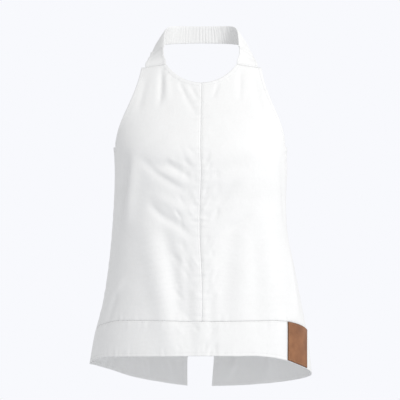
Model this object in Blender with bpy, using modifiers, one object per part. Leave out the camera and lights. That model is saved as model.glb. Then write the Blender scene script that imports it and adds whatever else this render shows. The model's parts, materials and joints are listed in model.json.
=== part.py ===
"""Halter neck top in plain woven cotton, filled out as it is worn, with no wearer.

Two front panels meet in a centre-front seam and hang from a gathered elastic neck strap by two
plain tabs. Two back panels, cut low under the arms, meet in a centre-back seam that opens into
a vent. A deep band finishes the hem, in one piece across the front and in two at the back, and
a bare leather patch lies over the band on the wearer's left.

Frame: metres, +Z up, the front faces -Y and +X is the wearer's left. The origin is the nape,
on the inner face of the neck strap at the centre back.

Each cloth wall is an open surface with a Solidify modifier. The surface is a form of rounded
sections, read at a turn (the angle about the upright middle, 0 at the centre front, positive
towards +X, 180 degrees at the centre back) and a height, and moved out or in by the folds.
"""

from collections import namedtuple

import bpy
import numpy as np

MM = 0.001

# Walls, and how the pieces lie to each other. At the side seams the walls of a rounded form lean
# together inside, so each edge there is drawn in by a little more than half the gap.
PANEL_WALL = 1.5 * MM
BAND_WALL = 2.0 * MM
STRAP_WALL = 2.4 * MM
TAB_WALL = 1.6 * MM
PATCH_WALL = 1.8 * MM
SEAM_GAP = 0.3 * MM
SIDE_EASE = 0.12 * MM
BAND_PROUD = 0.4 * MM
STRAP_CROWN = 1.0 * MM

# The neckline: a shallow scoop between the strap tabs.
NECK_CENTRE = 2.0 * MM
NECKLINE_HALF_WIDTH = 60.0 * MM
NECKLINE_PIT = -90.0 * MM
NECKLINE_TOP = -57.0 * MM
NECKLINE_SQUARENESS = 0.22

# The armhole edge as it looks from the front: a curve from the strap joint to the underarm,
# steered by two handles (distance from the middle, height).
ARMHOLE_TOP = (102.0 * MM, -62.0 * MM)
ARMHOLE_HANDLES = ((112.0 * MM, -125.0 * MM), (140.0 * MM, -150.0 * MM))
UNDERARM = -199.0 * MM
BACK_TOP_DIP = 5.0 * MM

# The side seams: a little to the front at the underarm, at the very side below the waist.
SEAM_TURN_HEM = 88.0
SEAM_TURN_UNDERARM = 76.0
SEAM_SETTLES = -300.0 * MM

# The leather patch: its two upright edges as they look from the front, and how far it lies off
# the band, whose facets it doesn't share.
PATCH_EDGES = (142.5 * MM, 176.5 * MM)
PATCH_HEM_CLEARANCE = 1.0 * MM
PATCH_LIFT = 0.55 * MM
PATCH_FACES = 10

# How many faces each piece has. Pieces that meet at a seam share its points, so that their
# facets match: the front panels have their own faces at the neckline, the strap joint and the
# armhole, and the band has two faces to each of theirs.
SEAM_FACES = 16
ARMHOLE_FACES = 8
NECKLINE_FACES = 10
JOINT_FACES = 4
BACK_FACES = 13
FRONT_BAND_FACES = 56
BAND_ROWS_OF_FACES = 4
STRAP_FACES = (50, 4)
TAB_FACES = (4, 5)

# The form, a row for each level section, in millimetres. Powers over 2 square the section off.
Section = namedtuple("Section", "height half_width centre side front back front_power back_power")
SECTIONS = (
    Section(-630, 190.0, 0.0, -77, -212, 65, 2.20, 2.20),
    Section(-575, 188.0, 0.0, -77, -209, 62, 2.20, 2.20),
    Section(-520, 181.0, 1.2, -77, -204, 58, 2.25, 2.25),
    Section(-460, 168.0, 3.0, -77, -196, 52, 2.30, 2.30),
    Section(-400, 157.6, 2.0, -77, -188, 46, 2.35, 2.30),
    Section(-345, 149.2, -0.8, -77, -182, 40, 2.40, 2.30),
    Section(-290, 145.9, -0.5, -77, -180, 38, 2.45, 2.30),
    Section(-240, 146.2, 1.2, -77, -183, 40, 2.50, 2.30),
    Section(-200, 146.9, 0.2, -76, -179, 41, 2.50, 2.25),
    Section(-165, 150.0, 0.6, -70, -161, 40, 2.40, 2.20),
    Section(-130, 151.5, 1.0, -57, -136, 38, 2.20, 2.20),
    Section(-100, 151.0, 1.4, -40, -114, 36, 2.10, 2.20),
    Section(-70, 143.0, 1.8, -24, -95, 33, 2.00, 2.20),
    Section(-40, 122.0, 2.0, -12, -81, 30, 2.00, 2.20),
)

# The band all round, a row for each station: its top seam and the hem, in degrees and millimetres.
BandRow = namedtuple("BandRow", "turn seam hem")
BAND_ROWS = (
    BandRow(-180, -557, -621),
    BandRow(-150, -545, -609),
    BandRow(-133, -534, -598),
    BandRow(-118, -522, -583),
    BandRow(-102, -513, -571),
    BandRow(-88, -507, -565),
    BandRow(-76, -497, -555),
    BandRow(-64, -489, -548),
    BandRow(-50, -486, -545),
    BandRow(-25, -485.5, -542.5),
    BandRow(0, -485.5, -541.5),
    BandRow(25, -485.5, -542),
    BandRow(40, -485.5, -543),
    BandRow(49, -486, -546.5),
    BandRow(58, -488, -553),
    BandRow(66, -492, -561.5),
    BandRow(76, -500, -571),
    BandRow(88, -512, -582),
    BandRow(102, -523, -592),
    BandRow(120, -537, -604),
    BandRow(146, -550, -615),
    BandRow(180, -555, -619),
)

# The centre-back vent: how far each edge hangs from the middle, in millimetres.
VentRow = namedtuple("VentRow", "height left right")
VENT_ROWS = (
    VentRow(-640, 22.5, 19.0),
    VentRow(-600, 23.0, 22.0),
    VentRow(-565, 22.5, 24.0),
    VentRow(-530, 19.0, 20.5),
    VentRow(-490, 12.0, 12.5),
    VentRow(-455, 4.0, 4.0),
    VentRow(-435, 0.0, 0.0),
    VentRow(-180, 0.0, 0.0),
)

# The strap's outer face on the wearer's left, from the centre back to the seam of the tab, in
# millimetres from the neck's middle: its top edge, which becomes the neck edge, and its bottom
# edge, which becomes the armhole edge.
StrapRow = namedtuple("StrapRow", "top_x top_y top_z bottom_x bottom_y bottom_z")
STRAP_ROWS = (
    StrapRow(0.0, 1.4, 15.0, 0.0, 1.4, -14.5),
    StrapRow(25.0, 0.2, 15.0, 28.0, 0.4, -15.0),
    StrapRow(44.0, -5.5, 14.8, 49.0, -4.5, -16.0),
    StrapRow(56.0, -16.0, 13.0, 66.0, -12.0, -18.0),
    StrapRow(62.0, -28.0, 7.0, 78.0, -22.0, -19.5),
    StrapRow(64.0, -44.0, -8.0, 83.0, -30.5, -26.5),
    StrapRow(64.5, -59.0, -24.5, 86.0, -39.0, -34.5),
)
TAB_MIDDLE = StrapRow(64.5, -70.0, -40.0, 91.5, -54.5, -47.0)
TAB_END_X = (60.5 * MM, 95.5 * MM)
TAB_LEAD = 5.0 * MM

# The folds, a row for each, in millimetres: from one point to another as seen from the front
# or, with back True, from behind the same X and Z. A negative depth is a trough.
Fold = namedtuple("Fold", "back x1 z1 x2 z2 width depth")
FOLDS = (
    Fold(False, -121, -226, -140, -335, 11, -8.0),
    Fold(False, -104, -212, -118, -330, 15, 4.0),
    Fold(False, -92, -318, -44, -560, 22, 5.0),
    Fold(False, -62, -330, -30, -500, 15, -5.0),
    Fold(False, 58, -322, 38, -500, 19, -5.0),
    Fold(False, 112, -300, 132, -560, 24, 4.5),
    Fold(False, -70, -215, -20, -262, 13, -3.5),
    Fold(False, 74, -218, 24, -258, 14, -3.0),
    Fold(True, -96, -270, -122, -590, 20, -6.0),
    Fold(True, -58, -330, -66, -600, 20, 5.0),
    Fold(True, 52, -300, 62, -610, 20, 4.5),
    Fold(True, 98, -290, 126, -590, 18, -6.0),
)
FOLD_STEPS = 40

Finish = namedtuple("Finish", "colour roughness")
FINISHES = {
    "cotton": Finish((0.90, 0.90, 0.89), 0.85),
    "elastic_casing": Finish((0.86, 0.86, 0.86), 0.88),
    "leather": Finish((0.285, 0.118, 0.048), 0.55),
}


def clear_scene():
    """Remove what the file opened with."""
    for item in list(bpy.data.objects):
        bpy.data.objects.remove(item, do_unlink=True)


def make_materials():
    """One Principled material for each finish."""
    materials = {}
    for name, finish in FINISHES.items():
        material = bpy.data.materials.new(name)
        material.use_nodes = True
        shader = material.node_tree.nodes["Principled BSDF"]
        shader.inputs["Base Color"].default_value = (*finish.colour, 1.0)
        shader.inputs["Roughness"].default_value = finish.roughness
        shader.inputs["Metallic"].default_value = 0.0
        materials[name] = material
    return materials


def smooth_curve(knots, values, at):
    """A cubic through the values at rising knots, each slope set by the knot's neighbours."""
    knots = np.asarray(knots, float)
    values = np.asarray(values, float)
    slopes = np.gradient(values, knots)
    at = np.clip(at, knots[0], knots[-1])
    cell = np.clip(np.searchsorted(knots, at, side="right") - 1, 0, len(knots) - 2)
    width = knots[cell + 1] - knots[cell]
    t = (at - knots[cell]) / width
    rest = 1.0 - t
    start = values[cell] * (1 + 2 * t) * rest**2 + slopes[cell] * width * t * rest**2
    end = values[cell + 1] * t**2 * (3 - 2 * t) - slopes[cell + 1] * width * t**2 * rest
    return start + end


def read_column(rows, column, at, unit=MM):
    """A column of a table, smoothly read where the first column has the values `at`."""
    knots = [row[0] for row in rows]
    values = [getattr(row, column) for row in rows]
    return smooth_curve(knots, values, at) * unit


def section_at(height):
    """The form's section sizes at each height."""
    level = np.asarray(height) / MM
    sizes = {name: read_column(SECTIONS, name, level) for name in Section._fields[1:6]}
    for name in Section._fields[6:]:
        sizes[name] = read_column(SECTIONS, name, level, unit=1.0)
    return sizes


def plain_form(turn, height):
    """Points of the unfolded form: a rounded section in polar form about its middle."""
    size = section_at(height)
    at_front = np.abs(turn) <= np.pi / 2
    depth = np.where(at_front, size["side"] - size["front"], size["back"] - size["side"])
    power = np.where(at_front, size["front_power"], size["back_power"])
    across = np.abs(np.sin(turn) / size["half_width"]) ** power
    along = np.abs(np.cos(turn) / depth) ** power
    reach = (across + along) ** (-1.0 / power)
    x = size["centre"] + reach * np.sin(turn)
    y = size["side"] - reach * np.cos(turn)
    return np.stack([x, y, np.broadcast_to(height, x.shape)], axis=-1)


def outward(turn, height):
    """Unit normals of the form, across its slopes in turn and in height."""
    step_turn = 1e-3
    step_height = 0.5 * MM
    round_it = plain_form(turn + step_turn, height) - plain_form(turn - step_turn, height)
    up_it = plain_form(turn, height + step_height) - plain_form(turn, height - step_height)
    normal = np.cross(round_it, up_it)
    return normal / np.linalg.norm(normal, axis=-1, keepdims=True)


def turn_at(x, height, back=False):
    """The turn at which the form stands at X, on its front or its back."""
    size = section_at(height)
    wing = "back" if back else "front"
    depth = np.abs(size[wing] - size["side"])
    power = size[wing + "_power"]
    off = np.asarray(x) - size["centre"]
    share = np.minimum(np.abs(off) / size["half_width"], 1.0)
    along = depth * (1.0 - share**power) ** (1.0 / power)
    turn = np.arctan2(np.abs(off), along)
    turn = np.pi - turn if back else turn
    return np.where(off < 0, -turn, turn)


def fold_depth(points):
    """How far the folds move each point out: a soft bell across each fold, faded at its ends."""
    shift = np.zeros(points.shape[:-1])
    along = np.linspace(0.0, 1.0, FOLD_STEPS)
    fade = np.sin(np.pi * np.clip(along, 0.02, 0.98)) ** 0.5
    for fold in FOLDS:
        x = (fold.x1 + (fold.x2 - fold.x1) * along) * MM
        z = (fold.z1 + (fold.z2 - fold.z1) * along) * MM
        line = plain_form(turn_at(x, z, fold.back), z)
        away = np.linalg.norm(points[..., None, :] - line, axis=-1)
        bell = fade * np.exp(-((away / (fold.width * MM)) ** 2))
        shift += fold.depth * MM * bell.max(axis=-1)
    return shift


def cloth_points(turn, height, proud=0.0):
    """Points of the folded cloth's outer face, moved out by `proud`."""
    points = plain_form(turn, height)
    shift = fold_depth(points) + proud
    return points + outward(turn, height) * shift[..., None]


def coons(bottom, top, inner, outer):
    """A grid between four edges, each a row of (turn, height), that meet at the corners."""
    u = np.linspace(0.0, 1.0, len(bottom))[None, :, None]
    v = np.linspace(0.0, 1.0, len(inner))[:, None, None]
    ruled = (1 - v) * bottom[None] + v * top[None] + (1 - u) * inner[:, None] + u * outer[:, None]
    low = (1 - u) * bottom[0] + u * bottom[-1]
    high = (1 - u) * top[0] + u * top[-1]
    return ruled - (1 - v) * low - v * high


def band_edge(column, turn):
    """The height of the band's seam or hem at each turn."""
    return read_column(BAND_ROWS, column, np.degrees(turn))


def seam_turn(height):
    """The side seam's turn, from its place at the underarm to its place below the waist."""
    share = np.clip((np.asarray(height) - SEAM_SETTLES) / (UNDERARM - SEAM_SETTLES), 0.0, 1.0)
    share = share * share * (3 - 2 * share)
    return np.radians(SEAM_TURN_HEM + (SEAM_TURN_UNDERARM - SEAM_TURN_HEM) * share)


def neckline_height(off):
    """The neckline's height at a distance from its middle: a parabola with a squarer rise."""
    share = np.clip(np.abs(off) / NECKLINE_HALF_WIDTH, 0.0, 1.0)
    rise = (1 - NECKLINE_SQUARENESS) * share**2 + NECKLINE_SQUARENESS * share**4
    return NECKLINE_PIT + (NECKLINE_TOP - NECKLINE_PIT) * rise


def joint_height(off):
    """The height of the straight seam between the tab and the panel."""
    share = (np.abs(off) - NECKLINE_HALF_WIDTH) / (ARMHOLE_TOP[0] - NECKLINE_HALF_WIDTH)
    return NECKLINE_TOP + (ARMHOLE_TOP[1] - NECKLINE_TOP) * share


def edge_from_front(side, off, height):
    """An edge given by its distance from the middle and its height, as seen from the front."""
    middle = section_at(height)["centre"]
    return np.stack([turn_at(middle + side * off, height), height], axis=-1)


def armhole_edge(side, count):
    """The armhole edge of a front panel, from the underarm up to the strap joint."""
    low_turn = side * seam_turn(UNDERARM)
    low = plain_form(np.array([low_turn]), np.array([UNDERARM]))[0]
    centre = section_at(UNDERARM)["centre"]
    ends = np.array([[side * (low[0] - centre), UNDERARM], *ARMHOLE_HANDLES[::-1], ARMHOLE_TOP])
    t = np.linspace(0.0, 1.0, count)[:, None]
    weights = np.hstack([(1 - t) ** 3, 3 * t * (1 - t) ** 2, 3 * t**2 * (1 - t), t**3])
    off, height = (weights @ ends).T
    return edge_from_front(side, off, height)


def side_seam_edge(side, low, count):
    """The side seam from a low height up to the underarm."""
    height = np.linspace(low, UNDERARM, count)
    return np.stack([side * seam_turn(height), height], axis=-1)


def even_rows(edge, count):
    """The same edge with its points an even distance apart, measured on the form."""
    points = plain_form(edge[:, 0], edge[:, 1])
    steps = np.linalg.norm(np.diff(points, axis=0), axis=1)
    length = np.concatenate([[0.0], np.cumsum(steps)])
    at = np.linspace(0.0, length[-1], count)
    return np.stack([np.interp(at, length, edge[:, k]) for k in range(2)], axis=-1)


def draw_in(grid, left=0.0, right=0.0, low=0.0, high=0.0):
    """The grid with its four edges drawn in by distances on the form."""
    grid = grid.copy()
    radius = np.linalg.norm(
        plain_form(grid[..., 0] + 0.01, grid[..., 1]) - plain_form(grid[..., 0], grid[..., 1]),
        axis=-1,
    ) / 0.01
    inwards = np.sign(grid[:, -1, 0] - grid[:, 0, 0])
    grid[:, 0, 0] += inwards * left / radius[:, 0]
    grid[:, -1, 0] -= inwards * right / radius[:, -1]
    grid[0, :, 1] += low
    grid[-1, :, 1] -= high
    return grid


def front_panel_grid(side):
    """One front panel between centre front, neckline, strap joint, armhole and side seam."""
    across = NECKLINE_FACES + JOINT_FACES
    fine = 8 * across
    turns = np.linspace(0.0, side * np.radians(SEAM_TURN_HEM), across + 1)
    bottom = np.stack([turns, band_edge("seam", turns)], axis=-1)
    neck = np.linspace(0.0, NECKLINE_HALF_WIDTH, fine)
    joint = np.linspace(NECKLINE_HALF_WIDTH, ARMHOLE_TOP[0], fine)
    neckline = edge_from_front(side, neck, neckline_height(neck))
    neckline[0, 0] = 0.0
    strap_joint = edge_from_front(side, joint, joint_height(joint))
    top = np.concatenate([
        even_rows(neckline, NECKLINE_FACES + 1),
        even_rows(strap_joint, JOINT_FACES + 1)[1:],
    ])
    outer = np.concatenate([
        side_seam_edge(side, bottom[-1, 1], SEAM_FACES + 1),
        even_rows(armhole_edge(side, fine), ARMHOLE_FACES + 1)[1:],
    ])
    share = np.linspace(0.0, 1.0, len(outer))
    inner = np.stack([0.0 * share, bottom[0, 1] + (top[0, 1] - bottom[0, 1]) * share], axis=-1)
    gap = SEAM_GAP / 2
    grid = coons(bottom, top, inner, outer)
    return draw_in(grid, left=gap, right=gap + SIDE_EASE, low=gap, high=gap)


def vent_turn(side, height):
    """The turn of a back piece's inner edge, at the centre-back seam or along the vent."""
    column = "right" if side > 0 else "left"
    gap = read_column(VENT_ROWS, column, np.asarray(height) / MM)
    gap = np.maximum(gap, 0.0)
    middle = section_at(height)["centre"]
    return turn_at(middle + side * np.maximum(gap, 1e-7), height, back=True)


def back_panel_grid(side):
    """One back panel between the side seam, the low top edge, the centre back and the band."""
    end = side * np.radians(SEAM_TURN_HEM)
    low_mid = band_edge("seam", side * np.pi)
    turns = np.linspace(end, vent_turn(side, low_mid), BACK_FACES + 1)
    bottom = np.stack([turns, band_edge("seam", turns)], axis=-1)
    seam = side_seam_edge(side, bottom[0, 1], SEAM_FACES + 1)
    share = np.linspace(0.0, 1.0, SEAM_FACES + 1)
    heights = bottom[-1, 1] + (UNDERARM - BACK_TOP_DIP - bottom[-1, 1]) * share
    inner = np.stack([vent_turn(side, heights), heights], axis=-1)
    turns = np.linspace(seam[-1, 0], inner[-1, 0], BACK_FACES + 1)
    dip = BACK_TOP_DIP * np.sin(np.linspace(0.0, np.pi / 2, BACK_FACES + 1)) ** 2
    top = np.stack([turns, UNDERARM - dip], axis=-1)
    gap = SEAM_GAP / 2
    return draw_in(coons(bottom, top, seam, inner), left=gap + SIDE_EASE, right=gap, low=gap)


def band_grid(turns, along):
    """A stretch of the hem band between its top seam and the hem."""
    seam = band_edge("seam", turns)
    hem = band_edge("hem", turns)
    share = np.linspace(0.0, 1.0, along + 1)[:, None]
    heights = hem + (seam - hem) * share
    return np.stack([np.broadcast_to(turns, heights.shape), heights], axis=-1)


def front_band_grid():
    """The front band, in one piece from side seam to side seam."""
    end = np.radians(SEAM_TURN_HEM)
    turns = np.linspace(-end, end, FRONT_BAND_FACES + 1)
    gap = SEAM_GAP / 2
    side_gap = gap + SIDE_EASE
    return draw_in(band_grid(turns, BAND_ROWS_OF_FACES), left=side_gap, right=side_gap, high=gap)


def back_band_grid(side):
    """One back band, from the side seam to the vent."""
    end = side * np.radians(SEAM_TURN_HEM)
    inner = vent_turn(side, band_edge("seam", side * np.pi))
    grid = band_grid(np.linspace(end, inner, BACK_FACES + 1), BAND_ROWS_OF_FACES)
    inner = vent_turn(side, grid[:, -1, 1])
    share = np.linspace(0.0, 1.0, BACK_FACES + 1)
    grid[..., 0] = end + (inner[:, None] - end) * share
    gap = SEAM_GAP / 2
    return draw_in(grid, left=gap + SIDE_EASE, high=gap)


def patch_grid():
    """The leather patch, upright, over the whole depth of the band beside the side seam."""
    share = np.linspace(0.0, 1.0, BAND_ROWS_OF_FACES + 1)
    edges = []
    for x in PATCH_EDGES:
        middle = turn_at(x, band_edge("hem", np.radians(SEAM_TURN_HEM)))
        hem = band_edge("hem", middle) + PATCH_HEM_CLEARANCE
        seam = band_edge("seam", middle) - SEAM_GAP / 2
        height = hem + (seam - hem) * share
        edges.append(turn_at(x, height))
    across = np.linspace(0.0, 1.0, PATCH_FACES + 1)
    turns = edges[0][:, None] + (edges[1] - edges[0])[:, None] * across
    hem = band_edge("hem", turns) + PATCH_HEM_CLEARANCE
    seam = band_edge("seam", turns) - SEAM_GAP / 2
    return np.stack([turns, hem + (seam - hem) * share[:, None]], axis=-1)


def strap_edges(rows, at):
    """The strap's top and bottom edges, smoothly read at places 0 to 1 along the rows."""
    table = np.array(rows, float)
    steps = np.linalg.norm(np.diff(table[:, :3] + table[:, 3:], axis=0), axis=1)
    knots = np.concatenate([[0.0], np.cumsum(steps)]) / steps.sum()
    read = [smooth_curve(knots, table[:, k], at) * MM for k in range(6)]
    return np.stack(read[:3], axis=-1), np.stack(read[3:], axis=-1)


def ribbon(top, bottom, across, crown):
    """A ribbon between two edges, its middle raised outwards by a parabola."""
    share = np.linspace(0.0, 1.0, across + 1)[None, :, None]
    flat = bottom[:, None] + (top - bottom)[:, None] * share
    run = np.gradient(flat, axis=0)
    width = np.broadcast_to((top - bottom)[:, None], flat.shape)
    normal = np.cross(width, run)
    normal /= np.linalg.norm(normal, axis=-1, keepdims=True)
    return flat + normal * crown * 4 * share * (1 - share)


def mirrored_rows(rows):
    """The rows of the wearer's right side, then the middle, then the wearer's left side."""
    other = [row._replace(top_x=-row.top_x, bottom_x=-row.bottom_x) for row in rows[:0:-1]]
    return [*other, *rows]


def neck_elastic_points():
    """The elastic strap round the neck, from tab seam to tab seam."""
    at = np.linspace(0.0, 1.0, STRAP_FACES[0] + 1)
    top, bottom = strap_edges(mirrored_rows(STRAP_ROWS), at)
    points = ribbon(top, bottom, STRAP_FACES[1], STRAP_CROWN)
    return points + np.array([NECK_CENTRE, 0.0, 0.0])


def tab_end_row(side, above):
    """The tab's two edges on the form, at a height above its seam with the panel."""
    off = np.array(TAB_END_X)
    edge = edge_from_front(side, off, joint_height(off) + above)
    points = plain_form(edge[:, 0], edge[:, 1])
    points[:, 0] = side * (points[:, 0] - NECK_CENTRE)
    return StrapRow(*(points[0] / MM), *(points[1] / MM))


def tab_points(side):
    """One tab, from the elastic's end seam to the top of its front panel."""
    gap = SEAM_GAP / 2
    rows = [STRAP_ROWS[-1], TAB_MIDDLE, tab_end_row(side, gap + TAB_LEAD), tab_end_row(side, gap)]
    top, bottom = strap_edges(rows, np.linspace(0.0, 1.0, TAB_FACES[1] + 1))
    for edge in (top, bottom):
        run = edge[1] - edge[0]
        edge[0] += run / np.linalg.norm(run) * SEAM_GAP
    points = ribbon(top, bottom, TAB_FACES[0], 0.0)
    points[..., 0] = NECK_CENTRE + side * points[..., 0]
    return points


def add_wall(name, points, wall, material, collection, offset=-1.0):
    """A cloth wall: a grid of points as an open surface facing out, thickened inwards."""
    rows, columns = points.shape[:2]
    index = np.arange(rows * columns).reshape(rows, columns)
    corners = [index[:-1, :-1], index[:-1, 1:], index[1:, 1:], index[1:, :-1]]
    faces = np.stack(corners, axis=-1).reshape(-1, 4)
    mesh = bpy.data.meshes.new(name)
    mesh.from_pydata(points.reshape(-1, 3).tolist(), [], faces.tolist())
    mesh.shade_smooth()
    mesh.materials.append(material)
    piece = bpy.data.objects.new(name, mesh)
    collection.objects.link(piece)
    thicken = piece.modifiers.new("wall", "SOLIDIFY")
    thicken.thickness = wall
    thicken.offset = offset
    thicken.use_even_offset = True
    thicken.use_rim = True
    return piece


def facing_out(points):
    """The grid turned over, for a piece whose columns run the other way round."""
    return points[:, ::-1]


def build_panels(materials, collection):
    """The two front panels and the two back panels."""
    for side, word in ((-1, "right"), (1, "left")):
        front = front_panel_grid(side)
        back = back_panel_grid(side)
        front_points = cloth_points(front[..., 0], front[..., 1])
        back_points = cloth_points(back[..., 0], back[..., 1])
        if side < 0:
            front_points = facing_out(front_points)
            back_points = facing_out(back_points)
        cotton = materials["cotton"]
        add_wall("front_panel_" + word, front_points, PANEL_WALL, cotton, collection)
        add_wall("back_panel_" + word, back_points, PANEL_WALL, cotton, collection)


def build_bands(materials, collection):
    """The front band and the two back bands."""
    cotton = materials["cotton"]
    grid = front_band_grid()
    points = cloth_points(grid[..., 0], grid[..., 1], BAND_PROUD)
    add_wall("front_band", points, BAND_WALL, cotton, collection)
    for side, word in ((-1, "right"), (1, "left")):
        grid = back_band_grid(side)
        points = cloth_points(grid[..., 0], grid[..., 1], BAND_PROUD)
        if side < 0:
            points = facing_out(points)
        add_wall("back_band_" + word, points, BAND_WALL, cotton, collection)


def build_strap(materials, collection):
    """The elastic neck strap and its two tabs."""
    points = neck_elastic_points()
    add_wall("neck_elastic", points, STRAP_WALL, materials["elastic_casing"], collection)
    for side, word in ((-1, "right"), (1, "left")):
        points = tab_points(side)
        if side < 0:
            points = facing_out(points)
        add_wall("strap_tab_" + word, points, TAB_WALL, materials["cotton"], collection)


def build_patch(materials, collection):
    """The bare leather patch, a gap's width off the band."""
    grid = patch_grid()
    proud = BAND_PROUD + PATCH_LIFT + PATCH_WALL
    points = cloth_points(grid[..., 0], grid[..., 1], proud)
    add_wall("leather_patch", points, PATCH_WALL, materials["leather"], collection)


def main():
    """Build the whole top."""
    clear_scene()
    collection = bpy.data.collections.new("halter_neck_top")
    bpy.context.scene.collection.children.link(collection)
    materials = make_materials()
    build_panels(materials, collection)
    build_bands(materials, collection)
    build_strap(materials, collection)
    build_patch(materials, collection)


main()
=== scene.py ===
"""Halter neck top in plain white cotton: the looks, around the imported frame.

Every cloth piece is a thin shell over the same rounded form as its solid: a section read at a
turn (the angle about the upright middle, 0 at the centre front, positive to the wearer's left)
and a height, moved out or in by the folds, the turned edges, the stitch lines and the puckers.
"""

import json
import logging
from dataclasses import dataclass, field
from enum import Enum

import bpy
import numpy as np
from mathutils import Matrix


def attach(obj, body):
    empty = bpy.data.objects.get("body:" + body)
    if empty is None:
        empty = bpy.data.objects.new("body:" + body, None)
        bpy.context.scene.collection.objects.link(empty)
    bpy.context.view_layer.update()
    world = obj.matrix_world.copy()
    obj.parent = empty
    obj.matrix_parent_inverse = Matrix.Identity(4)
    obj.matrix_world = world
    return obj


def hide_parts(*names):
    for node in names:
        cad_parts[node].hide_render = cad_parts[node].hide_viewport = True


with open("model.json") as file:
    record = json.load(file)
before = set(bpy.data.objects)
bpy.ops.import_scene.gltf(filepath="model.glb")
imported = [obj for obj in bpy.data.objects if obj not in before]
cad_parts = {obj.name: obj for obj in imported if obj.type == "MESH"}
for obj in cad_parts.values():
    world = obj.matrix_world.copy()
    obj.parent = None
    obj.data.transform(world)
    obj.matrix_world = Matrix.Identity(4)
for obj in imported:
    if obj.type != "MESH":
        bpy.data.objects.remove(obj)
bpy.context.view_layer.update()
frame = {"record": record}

LOG = logging.getLogger("halter_neck_top")
MM = 0.001
Array = np.ndarray


class Wing(Enum):
    """The half of the form that a fold lies on."""

    FRONT = "front"
    BACK = "back"


class Slot(Enum):
    """The record's material slots."""

    COTTON = "cotton"
    ELASTIC = "elastic_casing"
    LEATHER = "leather"


# ------------------------------------------------------------------ plain helpers


def smooth_curve(knots: Array, values: Array, at: Array) -> Array:
    """Read a cubic through the values at rising knots, each slope set by its neighbours.

    Args:
        knots: Rising places.
        values: The values there.
        at: Where to read.

    Returns:
        The values at `at`, held at the ends.
    """
    knots, values = np.asarray(knots, float), np.asarray(values, float)
    slopes = np.gradient(values, knots)
    at = np.clip(at, knots[0], knots[-1])
    cell = np.clip(np.searchsorted(knots, at, side="right") - 1, 0, len(knots) - 2)
    width = knots[cell + 1] - knots[cell]
    t = (at - knots[cell]) / width
    rest = 1.0 - t
    start = values[cell] * (1 + 2 * t) * rest**2 + slopes[cell] * width * t * rest**2
    end = values[cell + 1] * t**2 * (3 - 2 * t) - slopes[cell + 1] * width * t**2 * rest
    return start + end


def smooth_step(value: Array, low: float, high: float) -> Array:
    """Rise from 0 at low to 1 at high along 3t^2 - 2t^3."""
    t = np.clip((value - low) / (high - low), 0.0, 1.0)
    return t * t * (3 - 2 * t)


def ripple(along: Array, pitch: float, seed: float) -> Array:
    """An uneven wave along a line: three sines whose pitches share no common multiple."""
    q = 2 * np.pi * along / pitch
    return (np.sin(q + seed) + 0.7 * np.sin(0.61 * q + 2.3 * seed)
            + 0.5 * np.sin(1.43 * q + 3.7 * seed)) / 1.6


def lengths_along(points: Array) -> Array:
    """The running length of a row of points."""
    steps = np.linalg.norm(np.diff(points, axis=0), axis=1)
    return np.concatenate([[0.0], np.cumsum(steps)])


def nearest_on_line(points: Array, line: Array) -> tuple[Array, Array]:
    """Find how far each point lies from a polyline, and where along it.

    Args:
        points: Points, (..., 3).
        line: The polyline's points, (K, 3).

    Returns:
        The distances to the nearest of its points, and the running lengths there.
    """
    flat = points.reshape(-1, 3)
    length = lengths_along(line)
    away = np.empty(len(flat))
    place = np.empty(len(flat))
    for start in range(0, len(flat), 4000):
        block = flat[start:start + 4000]
        gap = np.linalg.norm(block[:, None] - line, axis=-1)
        best = gap.argmin(axis=1)
        away[start:start + 4000] = gap[np.arange(len(block)), best]
        place[start:start + 4000] = length[best]
    return away.reshape(points.shape[:-1]), place.reshape(points.shape[:-1])


def grid_faces(rows: int, columns: int, closed: bool = False) -> Array:
    """The quads of a grid of points, its columns joined round when closed."""
    index = np.arange(rows * columns).reshape(rows, columns)
    if closed:
        index = np.hstack([index, index[:, :1]])
    corners = [index[:-1, :-1], index[:-1, 1:], index[1:, 1:], index[1:, :-1]]
    return np.stack(corners, axis=-1).reshape(-1, 4)


def make_mesh(name: str, points: Array, faces: list, uv: Array | None = None) -> bpy.types.Object:
    """Make a smooth mesh object at the origin.

    Args:
        name: The piece's name.
        points: Its vertices, (N, 3).
        faces: Vertex numbers of each face.
        uv: A texture place in metres for each vertex, or None.

    Returns:
        The new object, linked to the scene.
    """
    mesh = bpy.data.meshes.new(name)
    mesh.from_pydata(points.tolist(), [], [list(face) for face in faces])
    mesh.shade_smooth()
    if uv is not None:
        corners = np.empty(len(mesh.loops), np.int32)
        mesh.loops.foreach_get("vertex_index", corners)
        layer = mesh.uv_layers.new(name="cloth")
        layer.data.foreach_set("uv", uv[corners].astype(np.float32).ravel())
    piece = bpy.data.objects.new(name, mesh)
    bpy.context.scene.collection.objects.link(piece)
    return piece


def thicken(piece: bpy.types.Object, wall: float) -> None:
    """Give an open surface a wall on its inner side."""
    shell = piece.modifiers.new("wall", "SOLIDIFY")
    shell.thickness = wall
    shell.offset = -1.0
    shell.use_even_offset = False
    shell.use_rim = True


def dress(piece: bpy.types.Object, material: bpy.types.Material,
          node: str | None = None) -> None:
    """Give a piece its finish, hang it on the body, and let it stand for its solid.

    Args:
        piece: The new piece.
        material: Its finish.
        node: The solid that it stands for, or None for thread.
    """
    piece.data.materials.append(material)
    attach(piece, "root")
    if node:
        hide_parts(node)


# ------------------------------------------------------------------ finishes


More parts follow.
